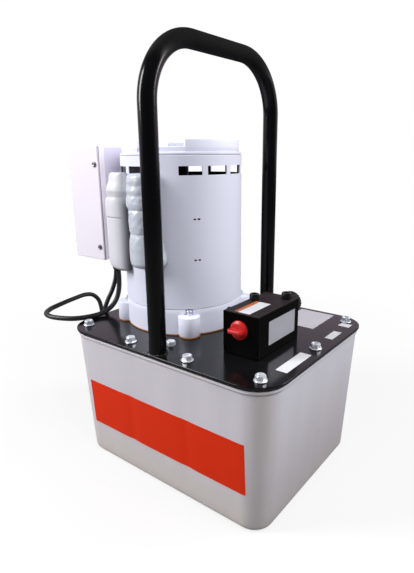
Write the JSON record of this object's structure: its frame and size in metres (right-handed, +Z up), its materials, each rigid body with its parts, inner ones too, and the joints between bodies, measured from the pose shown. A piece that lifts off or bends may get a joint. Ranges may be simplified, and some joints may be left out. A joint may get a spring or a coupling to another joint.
{
  "type": "hydraulic power unit",
  "caption": "Portable electric hydraulic power unit: translucent oil tank under a bolted cover plate with upright motor, control box, valve block, gear pump, bent tube handle and leads.",
  "frame": {"origin": "middle of the tank's underside, on the surface it stands on", "axes": "+Z up, X along the tank's long side with the valve block towards +X, the banded front wall facing -Y"},
  "size_m": [0.4466, 0.389, 0.5761],
  "materials": {
    "tank_plastic": "translucent milky moulded plastic, satin",
    "gasket_rubber": "matt sheet rubber",
    "black_paint": "gloss black paint on steel",
    "white_paint": "cool white satin paint",
    "zinc": "bright zinc plate",
    "steel": "machined",
    "aluminium": "cast or drawn",
    "windings": "varnished copper over laminated iron",
    "block_black": "satin black",
    "red_plastic": "moulded",
    "black_plastic": "moulded",
    "cord_rubber": "smooth jacket",
    "gasket_fibre": "fibre sheet"
  },
  "bodies": {
    "unit": {"reservoir_tank": "tank_plastic", "tank_gasket": "gasket_rubber", "cover_plate": "black_paint", "deck_bolt_01": "zinc", "deck_bolt_02": "zinc", "deck_bolt_03": "zinc", "deck_bolt_04": "zinc", "deck_bolt_05": "zinc", "deck_bolt_06": "zinc", "deck_bolt_07": "zinc", "deck_bolt_08": "zinc", "deck_bolt_09": "zinc", "deck_bolt_10": "zinc", "carry_handle": "black_paint", "motor_base": "white_paint", "motor_gasket": "gasket_fibre", "lug_bolt_1": "zinc", "lug_bolt_2": "zinc", "lug_bolt_3": "zinc", "lug_bolt_4": "zinc", "motor_shell": "white_paint", "motor_end_bell": "white_paint", "wound_stator": "windings", "upper_bearing": "steel", "lower_bearing": "steel", "capacitor_cover_left": "white_paint", "capacitor_cover_right": "white_paint", "capacitor_left": "aluminium", "capacitor_right": "aluminium", "control_box": "white_paint", "control_box_cover": "white_paint", "cover_screw_upper": "zinc", "cover_screw_lower": "zinc", "box_nipple": "zinc", "contactor": "black_plastic", "power_cord_grip": "black_plastic", "pendant_cord_grip": "black_plastic", "power_cord": "cord_rubber", "power_cord_coil": "cord_rubber", "power_plug": "black_plastic", "pendant_cord": "cord_rubber", "pendant_cord_coil": "cord_rubber", "pendant_body": "black_plastic", "valve_block": "block_black", "block_screw_1": "steel", "block_screw_2": "steel", "pump_body": "aluminium", "pump_end_cover": "aluminium", "suction_strainer": "steel", "pressure_pipe": "steel"},
    "rotor": {"rotor_core": "aluminium", "motor_shaft": "steel", "cooling_fan": "black_plastic", "drive_gear": "steel"},
    "idler": {"idler_gear": "steel"},
    "vent_plug": {"vent_plug": "zinc"},
    "port_plug": {"port_plug": "red_plastic"},
    "relief_knob": {"relief_knob": "black_plastic"},
    "pendant_button": {"pendant_button": "red_plastic"}
  },
  "joints": [
    {"name": "rotor_spin", "type": "hinge", "parent": "unit", "child": "rotor", "pos_m": [-0.062, 0, 0.3276], "axis": [0, 0, 1], "continuous": true},
    {"name": "idler_spin", "type": "hinge", "parent": "unit", "child": "idler", "pos_m": [-0.0312, 0, 0.1606], "axis": [0, 0, 1], "continuous": true},
    {"name": "vent_plug_lift", "type": "slide", "parent": "unit", "child": "vent_plug", "axis": [0, 0, 1], "range_m": [0, 0.02]},
    {"name": "port_plug_pull", "type": "slide", "parent": "unit", "child": "port_plug", "axis": [0, -1, 0], "range_m": [0, 0.03]},
    {"name": "relief_knob_turn", "type": "hinge", "parent": "unit", "child": "relief_knob", "pos_m": [0.099, 0.03, 0.2396], "axis": [0, 1, 0], "range_deg": [-180, 180]},
    {"name": "pendant_button_press", "type": "slide", "parent": "unit", "child": "pendant_button", "axis": [0, 0, -1], "range_m": [0, 0.003], "stiffness_N_per_m": 600}
  ],
  "couplings": [
    {"joint": "idler_spin", "follows": "rotor_spin", "ratio": -1}
  ]
}
